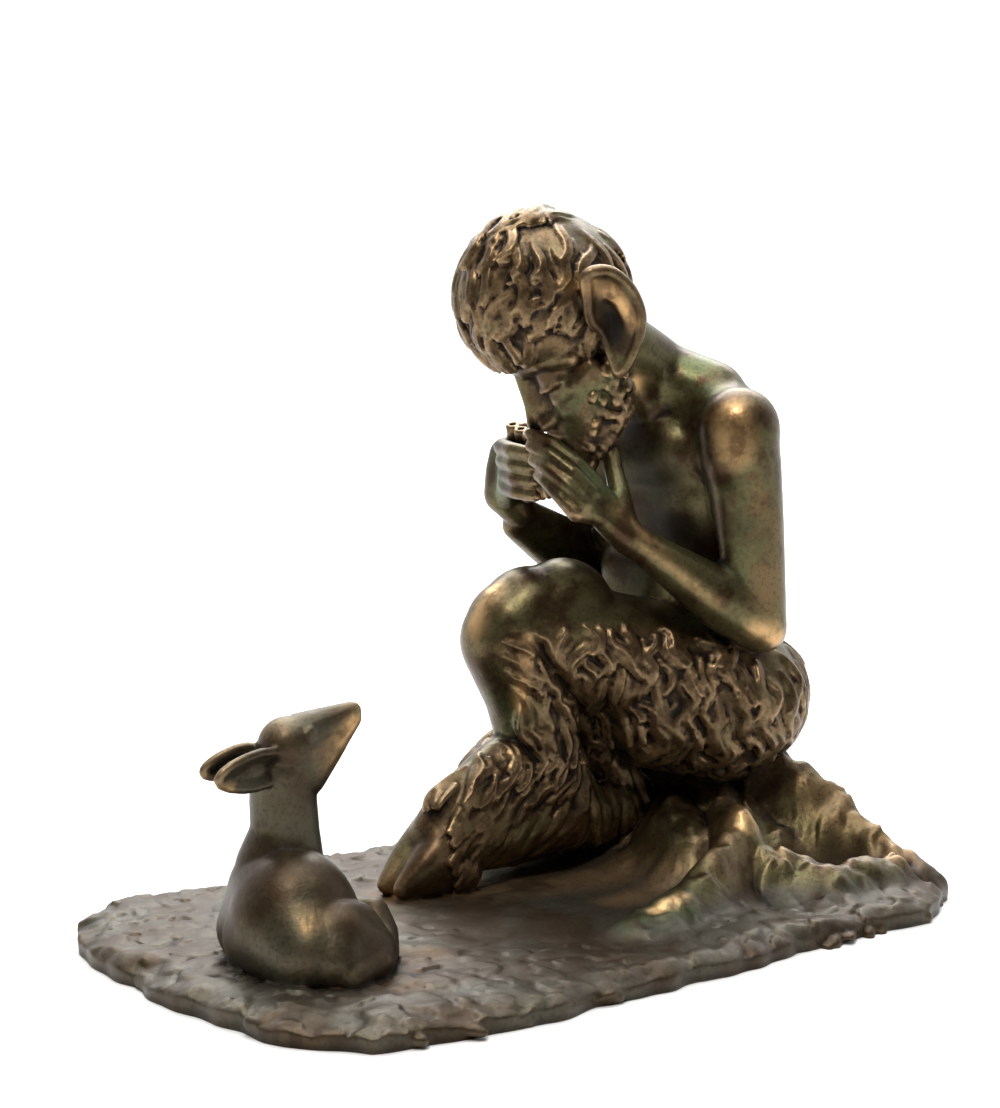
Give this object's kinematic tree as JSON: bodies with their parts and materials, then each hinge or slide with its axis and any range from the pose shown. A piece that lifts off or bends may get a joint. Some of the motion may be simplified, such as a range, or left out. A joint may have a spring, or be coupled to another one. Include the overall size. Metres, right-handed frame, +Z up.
{
  "type": "bronze figure group",
  "caption": "Cast bronze group: a goat-legged Pan sits on a rocky mound playing reed pipes to a fawn that lies on the thin modelled base.",
  "frame": {"origin": "middle of the base's flat underside", "axes": "+Z up, +X along the base's long side, away from the way that Pan faces; his left side is towards -Y"},
  "size_m": [0.2212, 0.1521, 0.1895],
  "materials": {
    "patinated_bronze": "cast bronze with a dark brown and green patina, rubbed golden on the ridges"
  },
  "bodies": {
    "root": {"pan_and_fawn_bronze": "patinated_bronze"}
  },
  "joints": []
}
